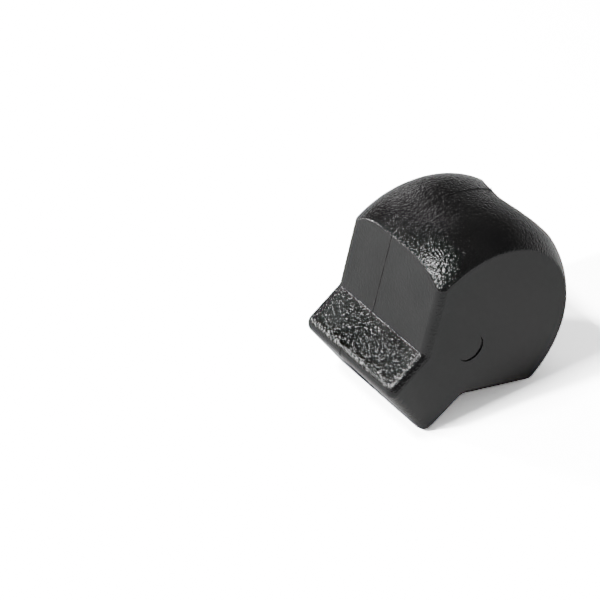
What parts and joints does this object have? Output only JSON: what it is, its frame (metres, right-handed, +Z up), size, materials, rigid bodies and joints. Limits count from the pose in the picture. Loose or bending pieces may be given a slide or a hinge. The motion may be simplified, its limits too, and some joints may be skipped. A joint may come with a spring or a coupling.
{
  "type": "wheel chock",
  "caption": "Small moulded wheel chock: a crowned barrel head on a block foot, with a V notch at each side and a counterbored bolt hole from crown to foot.",
  "frame": {"origin": "on the plane of the foot's underside, below the middle of the head; the foot is centred 1.8 mm towards -Y, and the bolt hole's axis stands at x = -1 mm, y = -0.9 mm", "axes": "+Z up the bolt hole, from the foot to the crown of the head; X square to the two flat sides; Y across the two notches"},
  "size_m": [0.031, 0.05, 0.0494],
  "materials": {
    "black_plastic": "black moulded plastic, semi-gloss, with a fine pebble grain; the bolt hole is smooth"
  },
  "bodies": {
    "root": {"chock_body": "black_plastic"}
  },
  "joints": []
}
